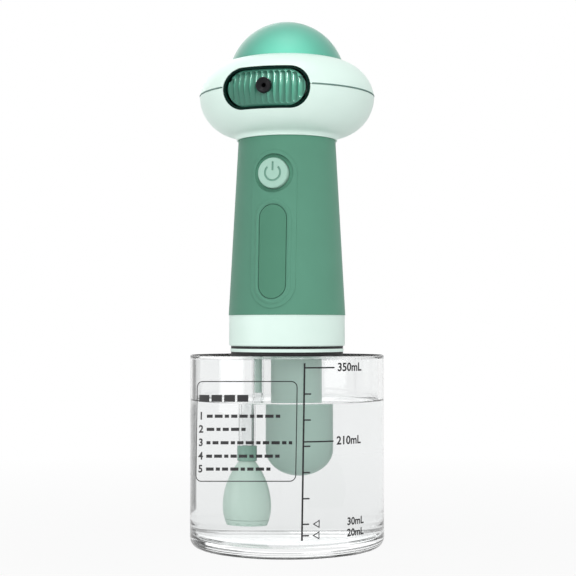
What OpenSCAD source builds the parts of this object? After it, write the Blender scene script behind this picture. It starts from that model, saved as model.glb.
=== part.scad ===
// Handheld pet bath foam machine on its clear jar.
// Millimetres, +Z up, origin at the centre of the jar's base, front towards -Y.

/* [Jar] */
// Outer diameter of the clear jar
jar_d = 84; // [78:0.5:92]
// Height of the jar up to its flat shoulder
jar_h = 82.4; // [78:0.2:90]
// Wall thickness of the jar
jar_wall = 2.2; // [1.6:0.1:3]
// Thickness of the jar floor
jar_floor = 4.5; // [3.5:0.1:6]
// Thickness of the flat shoulder
shoulder_t = 2.4; // [1.8:0.1:3.2]
// Outer rounding of the foot edge
foot_round = 4; // [2:0.2:5]
// Outer rounding of the shoulder edge
shoulder_round = 0.8; // [0.5:0.1:2]
// Diameter of the shallow push-up under the base
push_up_d = 60; // [40:1:66]
// Depth of the push-up under the base
push_up_h = 1; // [0.4:0.1:1.6]
// Inner diameter of the neck
neck_bore = 43.4; // [42.6:0.2:46]
// Wall thickness of the neck
neck_wall = 1.6; // [1.2:0.1:2.2]
// Height of the neck above the shoulder
neck_h = 11; // [9:0.2:14]

/* [Neck joint] */
// Height of the rubber seal between the shoulder and the stop ring
ring_lift = 1.4; // [1:0.1:2.6]
// Height of the stop ring
ring_h = 1.4; // [0.8:0.1:2]
// Radial width of the stop ring
ring_w = 1.2; // [0.9:0.1:1.6]
// Thickness of the rubber gasket under the collar
gasket_t = 1.1; // [0.5:0.1:1.4]
// Thickness of the seal on the neck's lip
seal_t = 1.2; // [0.8:0.1:1.8]
// Thickness of the bulkhead flange
flange_t = 2.8; // [2.2:0.1:3.6]
// Thickness of the collar's clamped lip
lip_t = 2.2; // [1.6:0.1:3]
// Radial width of the collar's clamped lip
lip_w = 2.8; // [2:0.1:3.2]
// Wall thickness of the collar
collar_wall = 1.5; // [1.2:0.1:2.4]
// Rounding of the collar's lower edge
collar_round = 0.7; // [0.3:0.1:1]
// Diameter of the bulkhead boss that reaches into the neck
boss_d = 31.2; // [30:0.2:33]
// Diameter of the circle that carries the neck screws
neck_screw_pcd = 37; // [36.4:0.2:38]
// Number of neck screws
neck_screw_n = 3; // [3:1:4]

/* [Pod and intake] */
// Outer diameter of the battery pod
pod_d = 22.1; // [21:0.1:23]
// Wall thickness of the battery pod
pod_wall = 1.4; // [1:0.1:1.6]
// Height of the pod's round end above the table
pod_z = 31.3; // [28:0.2:36]
// Length of the spigot that holds the pod
pod_spigot = 2.5; // [1.5:0.1:4]
// Diameter of the battery cell
cell_d = 18.3; // [16:0.1:18.6]
// Length of the battery cell
cell_l = 34.7; // [30:0.1:36]
// Outer diameter of the clear dip tube
tube_d = 5.4; // [4.8:0.1:6]
// Bore of the clear dip tube
tube_bore = 3.4; // [2.8:0.1:3.8]
// Length of the barb inside the top of the dip tube
barb_l = 16.5; // [8:0.5:20]
// Wall of the coupling sleeve at the foot of the dip tube
coupling_wall = 0.45; // [0.3:0.05:0.8]
// Length of the coupling sleeve
coupling_l = 6.4; // [4:0.2:8]
// Largest diameter of the bud-shaped intake filter
filter_d = 15.4; // [14:0.2:15.8]
// Height of the filter's flat foot above the table
filter_z = 9.8; // [8:0.2:14]
// Height from the filter's foot to its widest ring
filter_low = 8; // [6:0.2:10]
// Height from the filter's widest ring to its top
filter_up = 19.4; // [16:0.2:21]
// Profile radius of the filter's lower curve
filter_low_r = 26; // [20:1:32]
// Wall thickness of the filter
filter_wall = 1.2; // [0.9:0.1:1.6]
// Height of the filter's snap-on foot
filter_cap_h = 2.4; // [1.8:0.1:3]
// Number of intake notches round the filter's foot
notch_n = 10; // [6:1:12]
// Width of an intake notch
notch_w = 1.2; // [0.8:0.1:1.6]

/* [Handle] */
// Length of the tapered handle
handle_l = 77.6; // [74:0.2:84]
// Diameter of the handle's top
handle_top_d = 42.1; // [41:0.1:43]
// How far the handle stands out over the collar
handle_step = 0.25; // [0.1:0.05:0.5]
// Wall thickness of the handle
handle_wall = 2.6; // [2.4:0.1:2.8]
// Thickness of the ring inside the handle's foot
foot_ring_t = 3; // [2.4:0.1:3.6]
// Radial width of the ring inside the handle's foot
foot_ring_w = 7; // [6.5:0.1:7.4]
// Width of the raised grip panel
grip_w = 19.7; // [18:0.1:20.5]
// Width of the grip inlay
inlay_w = 12.1; // [10:0.1:13]
// Length of the grip inlay
inlay_l = 40.1; // [36:0.1:41]
// Height of the grip inlay's centre above the handle's foot
inlay_lift = 26.6; // [25.5:0.1:27]
// How far the grip panel stands out of the handle
grip_rise = 0.3; // [0.2:0.05:0.5]
// Width of the grip panel's border under the inlay
grip_border = 3.8; // [3:0.1:4.2]
// Thickness of the grip inlay
inlay_t = 1; // [0.7:0.05:1.1]
// Width of the groove round the grip inlay
inlay_gap = 0.25; // [0.2:0.05:0.4]

/* [Power button] */
// Diameter of the power button
button_d = 13; // [11.5:0.1:13.4]
// Depth of the button's centre under the handle's top
button_drop = 17.9; // [16.8:0.1:18.2]
// How far the button stands out of the handle
button_out = 1.2; // [0.9:0.1:1.8]
// Press of the button
button_travel = 0.8; // [0.4:0.1:1]
// Rounding of the button's face
button_round = 0.7; // [0.3:0.1:0.9]
// Diameter of the flat seat round the button
dish_d = 16.6; // [15.5:0.1:17]
// Depth of the flat seat round the button
dish_depth = 1.75; // [1.6:0.05:1.9]
// Depth of the button's guide behind the handle's surface
guide_l = 4.2; // [3.8:0.1:4.8]
// Side of the square switch
switch_w = 6; // [5:0.1:6.5]

/* [Charge port] */
// Depth of the charge port under the handle's top
port_drop = 16.2; // [15.6:0.1:17]
// Width of the port cover
cover_w = 13; // [12:0.1:14]
// Height of the port cover
cover_h = 8; // [7.4:0.1:9]
// Thickness of the port cover
cover_t = 1.2; // [1:0.1:1.4]
// Gap round the port cover
cover_gap = 0.4; // [0.35:0.05:0.5]
// Width of the charge socket
socket_w = 9; // [8.9:0.1:9.2]
// Height of the charge socket
socket_h = 3.3; // [3.2:0.1:3.5]
// Length of the charge socket
socket_l = 7.3; // [6.5:0.1:7.5]

/* [Head] */
// Largest diameter of the head
head_d = 76; // [74:0.5:80]
// Height of the lower shell
head_low = 17.5; // [16.5:0.1:18.5]
// Height of the upper shell
head_up = 15.2; // [14.4:0.1:16.4]
// Radius of the flare where the head meets the handle
flare_r = 2; // [1.4:0.1:2.6]
// Wall thickness of the head shells
head_wall = 2; // [1.6:0.1:2.2]
// Depth of the shadow groove at the parting line
seam_depth = 0.5; // [0.3:0.05:0.8]
// Width of the shadow groove at the parting line
seam_w = 0.5; // [0.3:0.05:0.8]
// Radius of the domed cap
dome_r = 25.5; // [24.5:0.1:26]
// Height of the domed cap above the head
dome_h = 17.4; // [16.6:0.1:18.2]
// Wall thickness of the domed cap
dome_wall = 1.8; // [1.4:0.1:2]
// Depth of the deck that carries the dome
deck_drop = 4.9; // [4:0.1:6]
// Thickness of the deck that carries the dome
deck_t = 2; // [1.6:0.1:2.4]
// Number of head screws
head_screw_n = 4; // [4:1:4]
// Radius of a screw post
post_r = 2.6; // [2.3:0.1:2.8]

/* [Nozzle] */
// Width of the nozzle window
window_w = 37.7; // [35:0.1:40]
// Height of the nozzle window
window_h = 17.7; // [17:0.1:19]
// How far the window's centre lies under the parting line
window_drop = 1.2; // [0.6:0.1:1.6]
// Width of the dark bezel
bezel_w = 1.1; // [1:0.1:2]
// How far the bezel lies behind the head's surface
bezel_inset = 0.5; // [0.3:0.05:0.8]
// How far the flute crests lie behind the head's widest ring
panel_inset = 1.75; // [1.4:0.05:2.2]
// Pitch of the flutes along the panel
flute_pitch = 2.7; // [2.4:0.05:3.2]
// Radius of one flute
flute_r = 1.25; // [1:0.05:1.3]
// Thickness of the panel behind the flutes
panel_t = 2.2; // [1.8:0.1:2.8]
// Diameter of the nozzle's tip
nozzle_d = 6.5; // [6:0.1:7]
// Diameter of the nozzle's outlet
outlet_d = 1.8; // [1.2:0.1:2.4]
// How far the nozzle's centre lies under the parting line
nozzle_drop = 0.7; // [0.4:0.1:1.4]
// Outer diameter of the foam chamber
chamber_d = 13; // [12:0.1:13.6]
// Wall thickness of the foam chamber
chamber_wall = 1.4; // [1:0.1:1.8]
// Length of the foam chamber
chamber_l = 32; // [30:0.5:34]

/* [Pump] */
// Module of the pump gears
gear_m = 0.75; // [0.7:0.01:0.8]
// Teeth on each pump gear
gear_n = 14; // [13:1:14]
// Thickness of the pump gears
gear_t = 6; // [5:0.1:7]
// Diameter of the motor
motor_d = 24; // [20:0.1:24.4]
// Length of the motor
motor_l = 30.8; // [26:0.2:31]
// Diameter of the motor shaft and of the idler pin
shaft_d = 2; // [1.8:0.1:2.3]
// Height of the pump over the ring in the handle's foot
pump_lift = 6.4; // [6:0.1:8]
// Thickness of the pump's cover and of its top wall
pump_plate = 2.8; // [2.2:0.1:3.2]
// Outer diameter of the inner hoses
hose_d = 4.6; // [4.2:0.1:4.8]
// Bore of the inner hoses
hose_bore = 2.6; // [2.2:0.1:3]
// Height of the outlet hose's cross run over the motor
hose_rise = 11; // [10:0.2:13]

/* [Clearances] */
// Gap between fixed pieces that slip together
fit_gap = 0.1; // [0.05:0.01:0.15]
// Radial gap of a turning shaft
run_gap = 0.05; // [0.02:0.01:0.1]
// Radial gap of the sliding button and of the thread
slide_gap = 0.3; // [0.2:0.05:0.4]

/* [Hidden] */
$fn = 72;
eps = 0.01;
// Anything this large reaches past the part
far = 200;

// Jar and neck
jar_r = jar_d / 2;
foot_r = min(foot_round, jar_floor);
shoulder_z = jar_h - shoulder_t;
neck_ir = neck_bore / 2;
neck_r = neck_ir + neck_wall;
neck_z = jar_h + neck_h;
ring_z = jar_h + ring_lift;
gasket_z = ring_z + ring_h;
collar_z = gasket_z + gasket_t;
flange_z = neck_z + seal_t;
lip_z = flange_z + flange_t;
handle_z = lip_z + lip_t;

// Collar and bulkhead
gasket_inset = 0.2;
collar_bore_r = neck_r + slide_gap;
collar_r = collar_bore_r + collar_wall;
lip_r = collar_bore_r - lip_w;
boss_r = boss_d / 2;
spigot_r = lip_r - fit_gap;
neck_screw_head_r = 1.8;
neck_screw_r = 1.1;
neck_screw_turn = 30;
neck_screw_short = 0.5;

// Pod, cell and intake
pod_r = pod_d / 2;
pod_edge = 0.35;
pod_x = boss_r - pod_r - pod_edge;
pod_bore_r = pod_r - pod_wall;
pod_end_z = pod_z + pod_r;
pod_spigot_wall = 1.6;
cell_r = cell_d / 2;
cell_cap_r = 3;
cell_cap_h = 1;
pad_gap = 1.5;
cell_z = pod_end_z - sqrt(pow(pod_bore_r, 2) - pow(cell_r + fit_gap, 2));
pad_z = cell_z + cell_l + fit_gap;
pad_h = jar_h - pod_spigot - pad_z - fit_gap;
tube_r = tube_d / 2;
tube_edge = 0.3;
tube_x = tube_r - boss_r - tube_edge;
barb_r = tube_bore / 2 - run_gap;
barb_wall = 0.6;
barb_bore_r = barb_r - barb_wall;
barb_flange_h = 1.6;
barb_flange_w = 1;
barb_top_l = 5;
filter_r = filter_d / 2;
filter_wide_z = filter_z + filter_low;
filter_top_z = filter_wide_z + filter_up;
filter_neck_step = 0.6;
filter_neck_r = tube_r + coupling_wall - filter_neck_step;
filter_up_r = (pow(filter_up, 2) + pow(filter_r - filter_neck_r, 2)) / (2 * (filter_r - filter_neck_r));
filter_barb_short = 1;
filter_barb_l = coupling_l - filter_barb_short;
filter_snap_h = 1.2;
filter_snap_w = 3;
notch_in = 1.4;
notch_h = 0.9;
valve_r = 2.3;
valve_stem_r = 1.1;
valve_cap_h = 1.2;
valve_taper = 0.8;
valve_y = (boss_r + neck_ir) / 2;

// Handle
handle_r = collar_r + handle_step;
handle_top_r = handle_top_d / 2;
handle_top_z = handle_z + handle_l;
handle_fall = (handle_r - handle_top_r) / handle_l;
handle_tilt = atan(handle_fall);
inlay_z = handle_z + inlay_lift;
foot_ring_z = handle_z + foot_ring_t;

// Button, switch and boards, as depths behind the handle's surface
button_r = button_d / 2;
button_z = handle_top_z - button_drop;
button_hole_r = button_r + slide_gap / 2;
grip_foot_z = inlay_z - inlay_l / 2 - grip_border;
grip_l = button_z + grip_w / 2 - grip_foot_z;
guide_wall = 2.2;
guide_r = button_hole_r + guide_wall;
flange_w = 1;
flange_r = button_hole_r + flange_w;
flange_depth = guide_l + fit_gap;
button_flange_t = 1;
stem_r = 1.8;
stem_l = 1.8;
stem_end = flange_depth + button_flange_t + stem_l;
plunger_r = 1.6;
plunger_l = 2.5;
plunger_gap = 0.15;
switch_gap = 0.3;
switch_depth = stem_end + button_travel + switch_gap;
switch_t = 3.6;
board_depth = switch_depth + switch_t;
board_t = 1.2;
board_w = 14;
board_h = 24;
board_post_r = 1.8;
board_post_z = 9.5;

// Charge port at the back
charge_board_w = 14;
charge_board_l = 10;
board_inset = 2;
socket_wall = 0.4;
socket_back = 1.2;
rail_h = 1.8;
rail_w = 3;

// Head
head_r = head_d / 2;
head_core_r = head_r - head_low;
head_z = handle_top_z + head_low;
head_top_z = head_z + head_up;
head_up_r = (pow(head_low, 2) + pow(head_up, 2)) / (2 * head_up);
head_up_z = head_top_z - head_up_r;
shell_lip_gap = 0.25;
shell_lip_w = 0.6;
flare_in_r = handle_top_r + shell_lip_gap;
flare_out_r = flare_in_r + shell_lip_w;
flare_x = flare_out_r + flare_r - head_core_r;
flare_z = head_z - sqrt(pow(head_low + flare_r, 2) - pow(flare_x, 2));
flare_end_r = head_core_r + flare_x * head_low / (head_low + flare_r);
floor_hole_step = 0.7;
floor_hole_r = handle_top_r - handle_wall - floor_hole_step;
dome_z = head_top_z + dome_h - dome_r;
dome_sink = 0.5;
dome_seam_z = head_top_z - dome_sink;
dome_base_r = sqrt(pow(dome_r, 2) - pow(dome_seam_z - dome_z, 2));
dome_gap = 0.2;
dome_hole_r = dome_base_r + dome_gap;
well_wall = 1.8;
deck_z = head_top_z - deck_drop;
deck_hole_r = 8;
saddle_w = 10;
saddle_t = 2.5;
saddle_gap = 0.5;
saddle_rise = 1;
post_pcr = head_core_r;
head_screw_head_r = 1.7;
head_screw_r = 1;
head_screw_l = 8;
head_screw_turn = 45;
screw_head_h = 1.3;

// Nozzle
window_z = head_z - window_drop;
nozzle_z = head_z - nozzle_drop;
nozzle_r = nozzle_d / 2;
crest_r = head_r - panel_inset;
flute_axis_r = crest_r - flute_r;
flute_step = flute_pitch / flute_axis_r * 180 / PI;
flute_sink = 0.2;
panel_face_r = flute_axis_r + flute_sink;
panel_back_r = panel_face_r - panel_t;
bezel_reach = 1;
bezel_back_r = panel_back_r - bezel_reach;
panel_w = window_w - 2 * bezel_w;
panel_h = window_h - 2 * bezel_w;
flute_n = ceil(panel_w / flute_pitch / 2);
chamber_r = chamber_d / 2;
chamber_bore_r = chamber_r - chamber_wall;
panel_boss_l = 2.6;
chamber_y = -(panel_back_r - panel_boss_l);
nozzle_flange_t = 3;
nozzle_short = 0.2;
nozzle_lip = 0.7;
nozzle_cone_l = 1;
nozzle_round = 0.4;
nozzle_cup_wall = 1.1;
mesh_t = 0.5;
mesh_step = 5;

// Pump
gear_pr = gear_m * gear_n / 2;
gear_tip_r = gear_pr + gear_m;
gear_root_r = gear_pr - 1.25 * gear_m;
gear_angle = 25;
gear_base_r = gear_pr * cos(gear_angle);
gear_slack = 0.6;
gear_y = gear_pr + run_gap;
pump_x = 1;
pump_wall = 1.85;
tip_gap = 0.12;
pocket_r = gear_tip_r + tip_gap;
pump_end_r = pocket_r + pump_wall;
pump_z = foot_ring_z + pump_lift;
gear_z = pump_z + pump_plate + fit_gap;
pump_top_z = gear_z + gear_t + fit_gap + pump_plate;
pump_mid_z = gear_z + gear_t / 2;
port_r = hose_bore / 2 - run_gap;
port_l = 2.2;
port_wall = 0.4;
motor_r = motor_d / 2;
motor_top_z = pump_top_z + motor_l;
motor_bearing_l = 2.5;
shaft_r = shaft_d / 2;
pin_hold = 1.4;
motor_cap_h = 2;
motor_cap_w = 2;
lug_r = 2.4;
lug_out = 1.2;
lug_y = gear_y + pump_end_r + lug_out;
lug_h = 3;
hose_r = hose_d / 2;
hose_bend = 3.5;
hose_lead = 0.3;
outlet_x = pump_x + pump_end_r + port_l + hose_bend + hose_lead;
hose_cross_z = motor_top_z + hose_rise;
board_clear = 2.4;
port_low_z = motor_top_z + board_clear + rail_h + board_t + socket_h / 2;
port_z = max(handle_top_z - port_drop, port_low_z);
socket_y = handle_r - (port_z - handle_z) * handle_fall - handle_wall - fit_gap;
charge_board_z = port_z - socket_h / 2 - board_t;
chamber_port_l = 5;
chamber_end = 2;
chassis_gap = 1.2;
chassis_r = handle_r - foot_ring_t * handle_fall - handle_wall - chassis_gap;
chassis_w = 4.5;
chassis_t = 2;
chassis_post_w = 8;
chassis_post_in = 3;

// Radius of the handle's surface at a height
function surface_r(z) = handle_r - (z - handle_z) * handle_fall;

// Angle in radians between a tooth's base and a point of its involute at radius r
function involute_angle(r) = sqrt(pow(max(r / gear_base_r, 1), 2) - 1)
    - acos(min(gear_base_r / r, 1)) * PI / 180;

// Half the angle of a gear tooth at radius r, in degrees
function tooth_half(r) = 90 / gear_n - gear_slack
    + (involute_angle(gear_pr) - involute_angle(max(r, gear_base_r))) * 180 / PI;

// Tube ring between two radii
module ring(r_out, r_in, h) {
    difference() {
        cylinder(r = r_out, h = h);
        translate([0, 0, -1])
            cylinder(r = r_in, h = h + 2);
    }
}

// Square with one concave quarter cut, used to round the corner of a profile
module corner(r) {
    translate([-eps, -eps])
        difference() {
            square(r + eps);
            translate([r + eps, r + eps])
                circle(r);
        }
}

// Flat shape with two round ends, centred, long side along X or along Y
module pill(w, h) {
    r = min(w, h) / 2;
    union() {
        square([w > h ? w - 2 * r : w, h > w ? h - 2 * r : h], center = true);
        for (s = [-1, 1])
            translate([s * (w / 2 - r), s * (h / 2 - r)])
                circle(r);
    }
}

// Pill that stands in the XZ plane and runs along Y from y0 to y1
module pill_bar(w, h, y0, y1) {
    translate([0, y0, 0])
        rotate([-90, 0, 0])
            linear_extrude(y1 - y0)
                pill(w, h);
}

// Cylinder along Y from y0 to y1
module y_bar(r, y0, y1) {
    translate([0, y0, 0])
        rotate([-90, 0, 0])
            cylinder(r = r, h = y1 - y0);
}

// Places children on the handle's front, with their -Y along the outward normal
module on_front(z) {
    translate([0, -surface_r(z), z])
        rotate([-handle_tilt, 0, 0])
            children();
}

// Cone that lies a depth inside the handle's surface
module handle_cone(depth) {
    translate([0, 0, handle_z - 1])
        cylinder(r1 = handle_r + handle_fall - depth,
                 r2 = handle_top_r - handle_fall - depth,
                 h = handle_l + 2);
}

// Puts children at each place of a ring
module around(n, r, turn = 0) {
    for (i = [0 : n - 1])
        rotate(turn + i * 360 / n)
            translate([r, 0, 0])
                children();
}

// Half of the head's outline, inset behind its surface
module low_outline(inset) {
    intersection() {
        translate([head_core_r, head_z])
            circle(head_low - inset);
        translate([head_core_r, head_z - head_low])
            square([head_low, head_low]);
    }
    translate([0, handle_top_z + inset])
        square([head_core_r, head_low - inset]);
}

module up_outline(inset) {
    intersection() {
        translate([head_core_r, head_up_z])
            circle(head_up_r - inset);
        translate([head_core_r, head_z])
            square([head_low, head_up]);
    }
    translate([0, head_z])
        square([head_core_r, head_up - inset]);
}

// Window through the front of the head, drawn in by a gap
module window_bar(gap) {
    translate([0, 0, window_z])
        pill_bar(window_w - 2 * gap, window_h - 2 * gap, -far, -floor_hole_r - post_r);
}

// Screw with a flat round head, its tip towards +Z
module screw(head_r, shank_r, length) {
    cylinder(r = head_r, h = screw_head_h);
    translate([0, 0, screw_head_h - eps])
        cylinder(r = shank_r, h = length);
}

// Clear wall of the jar, a plain tube
module jar() {
    color("lightcyan", 0.35)
        translate([0, 0, jar_floor])
            ring(jar_r, jar_r - jar_wall, shoulder_z - jar_floor);
}

// Clear base of the jar, welded under the wall, on a ring round its push-up
module jar_base() {
    color("lightcyan", 0.35)
        rotate_extrude()
            difference() {
                square([jar_r, jar_floor]);
                translate([0, -1])
                    square([push_up_d / 2, push_up_h + 1]);
                translate([jar_r, 0])
                    mirror([1, 0])
                        corner(foot_r);
            }
}

// Clear shoulder plate with the neck, welded on the wall
module jar_shoulder() {
    color("lightcyan", 0.35)
        rotate_extrude()
            difference() {
                union() {
                    translate([neck_ir, shoulder_z])
                        square([jar_r - neck_ir, shoulder_t]);
                    translate([neck_ir, shoulder_z])
                        square([neck_wall, shoulder_t + neck_h]);
                }
                translate([jar_r, jar_h])
                    mirror([1, 0])
                        mirror([0, 1])
                            corner(shoulder_round);
            }
}

module neck_ring() {
    color("honeydew")
        translate([0, 0, ring_z])
            ring(neck_r + ring_w, neck_r + run_gap, ring_h);
}

// Rubber ring round the neck's root, under the stop ring
module root_seal() {
    color("black")
        translate([0, 0, jar_h])
            ring(neck_r + ring_w - gasket_inset, neck_r + run_gap, ring_lift);
}

module collar_gasket() {
    color("black")
        translate([0, 0, gasket_z])
            ring(neck_r + ring_w - gasket_inset, neck_r + slide_gap, gasket_t);
}

// Collar, clamped to the handle by its inner lip
module collar() {
    color("honeydew")
        rotate_extrude()
            difference() {
                translate([lip_r, collar_z])
                    square([collar_r - lip_r, handle_z - collar_z]);
                translate([0, collar_z - 1])
                    square([collar_bore_r, lip_z - collar_z + 1]);
                translate([collar_r, collar_z])
                    mirror([1, 0])
                        corner(collar_round);
            }
}

// Bulkhead that closes the neck and carries the pod and the intake
module bulkhead() {
    color("honeydew")
        difference() {
            union() {
                translate([0, 0, flange_z])
                    cylinder(r = collar_bore_r - fit_gap, h = flange_t);
                translate([0, 0, jar_h])
                    cylinder(r = boss_r, h = flange_z - jar_h + 1);
                translate([0, 0, lip_z - 1])
                    cylinder(r = spigot_r, h = lip_t + 1 - fit_gap);
                translate([pod_x, 0, jar_h - pod_spigot])
                    cylinder(r = pod_bore_r - run_gap, h = pod_spigot + 1);
            }
            translate([pod_x, 0, jar_h - pod_spigot - 1])
                cylinder(r = pod_bore_r - run_gap - pod_spigot_wall, h = far);
            translate([tube_x, 0, jar_h - 1])
                cylinder(r = barb_r + run_gap, h = far);
            translate([tube_x, 0, handle_z - fit_gap - barb_flange_h])
                cylinder(r = barb_r + barb_flange_w + fit_gap, h = far);
            translate([0, 0, flange_z - 1])
                around(neck_screw_n, neck_screw_pcd / 2, neck_screw_turn)
                    cylinder(r = neck_screw_r + fit_gap, h = far);
            translate([0, valve_y, flange_z - 1])
                cylinder(r = valve_stem_r + run_gap, h = far);
        }
}

module neck_seal() {
    color("gainsboro")
        translate([0, 0, neck_z])
            ring(neck_r - fit_gap, neck_ir + fit_gap, seal_t);
}

module neck_screws() {
    color("silver")
        translate([0, 0, flange_z - screw_head_h])
            around(neck_screw_n, neck_screw_pcd / 2, neck_screw_turn)
                screw(neck_screw_head_r, neck_screw_r,
                      handle_z + foot_ring_t - flange_z - neck_screw_short);
}

// One-way valve that lets air back into the jar
module vent_valve() {
    color("whitesmoke")
        translate([0, valve_y, flange_z - valve_cap_h]) {
            cylinder(r1 = valve_r - valve_taper, r2 = valve_r, h = valve_cap_h);
            cylinder(r = valve_stem_r, h = valve_cap_h + flange_t + lip_t - fit_gap);
        }
}

// Round-ended battery pod
module pod_outline(r, z) {
    intersection() {
        translate([0, pod_end_z])
            circle(r);
        translate([0, pod_end_z - r])
            square([r, r]);
    }
    translate([0, pod_end_z])
        square([r, z - pod_end_z]);
}

module pod() {
    color("darkseagreen")
        translate([pod_x, 0, 0])
            rotate_extrude()
                difference() {
                    pod_outline(pod_r, jar_h);
                    pod_outline(pod_bore_r, jar_h + 1);
                }
}

module battery_cell() {
    color("steelblue")
        translate([pod_x, 0, cell_z]) {
            cylinder(r = cell_r, h = cell_l - cell_cap_h);
            cylinder(r = cell_cap_r, h = cell_l);
        }
}

module cell_pad() {
    color("dimgray")
        translate([pod_x, 0, pad_z])
            ring(pod_bore_r - fit_gap, cell_cap_r + pad_gap, pad_h);
}

// Barb that carries the dip tube below and the inlet hose above
module inlet_barb() {
    color("darkseagreen")
        translate([tube_x, 0, 0])
            difference() {
                union() {
                    translate([0, 0, jar_h - barb_l])
                        cylinder(r = barb_r, h = barb_l + handle_z - jar_h);
                    translate([0, 0, handle_z - fit_gap - barb_flange_h])
                        cylinder(r = barb_r + barb_flange_w, h = barb_flange_h);
                    translate([0, 0, handle_z - 1])
                        cylinder(r = port_r, h = barb_top_l + 1);
                }
                translate([0, 0, jar_h - barb_l - 1])
                    cylinder(r = min(barb_bore_r, port_r - port_wall), h = far);
            }
}

module dip_tube() {
    color("azure", 0.4)
        translate([tube_x, 0, filter_top_z])
            ring(tube_r, tube_bore / 2, jar_h - filter_top_z);
}

module tube_coupling() {
    color("slategray")
        translate([tube_x, 0, filter_top_z])
            ring(tube_r + coupling_wall, tube_r + run_gap, coupling_l);
}

// Outline of the bud-shaped filter, inset by its wall
module bud_outline(inset) {
    intersection() {
        translate([filter_r - filter_low_r, filter_wide_z])
            circle(filter_low_r - inset);
        translate([0, filter_z + inset])
            square([filter_r, filter_low - inset]);
    }
    intersection() {
        translate([filter_r - filter_up_r, filter_wide_z])
            circle(filter_up_r - inset);
        translate([0, filter_wide_z])
            square([filter_r, filter_up - 2 * inset]);
    }
}

module intake_filter() {
    color("lightgray")
        translate([tube_x, 0, 0])
            rotate_extrude()
                difference() {
                    union() {
                        bud_outline(0);
                        translate([0, filter_top_z - 1])
                            square([barb_r, filter_barb_l + 1]);
                    }
                    bud_outline(filter_wall);
                    translate([0, filter_z - 1])
                        square([far, filter_cap_h + 1]);
                    square([barb_bore_r, far]);
                }
}

// Snap-on foot of the filter with its intake notches
module filter_foot() {
    color("lightgray")
        translate([tube_x, 0, 0])
            difference() {
                rotate_extrude() {
                    intersection() {
                        bud_outline(0);
                        translate([0, filter_z])
                            square([filter_r, filter_cap_h - fit_gap]);
                    }
                    intersection() {
                        bud_outline(filter_wall + fit_gap);
                        translate([filter_r - filter_snap_w, filter_z])
                            square([filter_snap_w, filter_cap_h + filter_snap_h]);
                    }
                }
                translate([0, 0, filter_z - 1])
                    around(notch_n, filter_r - notch_in)
                        translate([0, -notch_w / 2, 0])
                            cube([filter_r, notch_w, 1 + notch_h]);
                translate([0, 0, filter_z - 1])
                    cylinder(r = barb_r, h = far);
            }
}

// Tapered handle with its grip recess, button guide and charge port
module handle_posts() {
    on_front(button_z) {
        difference() {
            y_bar(guide_r, dish_depth, guide_l);
            y_bar(button_hole_r, -1, guide_l + 1);
        }
        for (s = [-1, 1])
            translate([0, 0, s * board_post_z])
                y_bar(board_post_r, 1, board_depth);
    }
}

module charge_rails() {
    intersection() {
        for (s = [-1, 1])
            translate([s * (charge_board_w / 2 - rail_w / 2) - rail_w / 2, 0, charge_board_z - rail_h])
                translate([0, socket_y - charge_board_l + board_inset, 0])
                    cube([rail_w, charge_board_l + board_inset, rail_h]);
        handle_cone(1);
    }
}

module handle_shell() {
    color("seagreen")
        difference() {
            union() {
                difference() {
                    translate([0, 0, handle_z])
                        cylinder(r1 = handle_r, r2 = handle_top_r, h = handle_l);
                    translate([0, 0, foot_ring_z])
                        cylinder(r1 = surface_r(foot_ring_z) - handle_wall,
                                 r2 = handle_top_r - handle_wall - handle_fall,
                                 h = handle_top_z + 1 - foot_ring_z);
                    translate([0, 0, handle_z - 1])
                        cylinder(r = surface_r(foot_ring_z) - handle_wall - foot_ring_w,
                                 h = foot_ring_t + 2);
                }
                handle_posts();
                charge_rails();
                grip_panel();
            }
            on_front(button_z) {
                y_bar(button_hole_r, -5, guide_l + 0.5);
                y_bar(dish_d / 2, -5, dish_depth);
            }
            grip_cut(inlay_w, inlay_l, inlay_t + fit_gap - grip_rise);
            translate([0, 0, handle_z - 1])
                around(neck_screw_n, neck_screw_pcd / 2, neck_screw_turn)
                    cylinder(r = neck_screw_r + run_gap, h = foot_ring_t + 2);
            mirror([0, 1, 0])
                port_cut(cover_w + 2 * cover_gap, cover_h + 2 * cover_gap, cover_t + fit_gap);
            translate([0, 0, port_z])
                pill_bar(socket_w + 2 * fit_gap, socket_h + 2 * fit_gap, 0, far);
        }
}

// Raised panel round the button and the inlay
module grip_panel() {
    difference() {
        intersection() {
            translate([0, 0, grip_foot_z + grip_l / 2])
                pill_bar(grip_w, grip_l, -far, -surface_r(inlay_z) / 2);
            handle_cone(-grip_rise);
        }
        handle_cone(handle_wall / 2);
    }
}

// Oval cut in the handle's front that follows its surface at a depth
module grip_cut(w, l, depth) {
    difference() {
        translate([0, 0, inlay_z])
            pill_bar(w, l, -far, -surface_r(inlay_z) / 2);
        handle_cone(depth);
    }
}

module port_cut(w, h, depth) {
    difference() {
        translate([0, 0, port_z])
            pill_bar(w, h, -far, -surface_r(port_z) / 2);
        handle_cone(depth);
    }
}

module grip_inlay() {
    color("seagreen")
        difference() {
            intersection() {
                translate([0, 0, inlay_z])
                    pill_bar(inlay_w - 2 * inlay_gap, inlay_l - 2 * inlay_gap,
                             -far, -surface_r(inlay_z) / 2);
                handle_cone(-grip_rise);
            }
            handle_cone(inlay_t - grip_rise);
        }
}

// Power button with its retaining flange and stem
module power_button() {
    color("lightgreen")
        on_front(button_z)
            translate([0, -button_out, 0])
                rotate([-90, 0, 0])
                    rotate_extrude() {
                        difference() {
                            square([button_r, button_out + flange_depth + 0.5]);
                            translate([button_r, 0])
                                mirror([1, 0])
                                    corner(button_round);
                        }
                        translate([0, button_out + flange_depth])
                            square([flange_r, button_flange_t]);
                        square([stem_r, button_out + stem_end]);
                    }
}

module switch_plunger() {
    color("black")
        on_front(button_z)
            y_bar(plunger_r, stem_end, stem_end + plunger_l);
}

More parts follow.
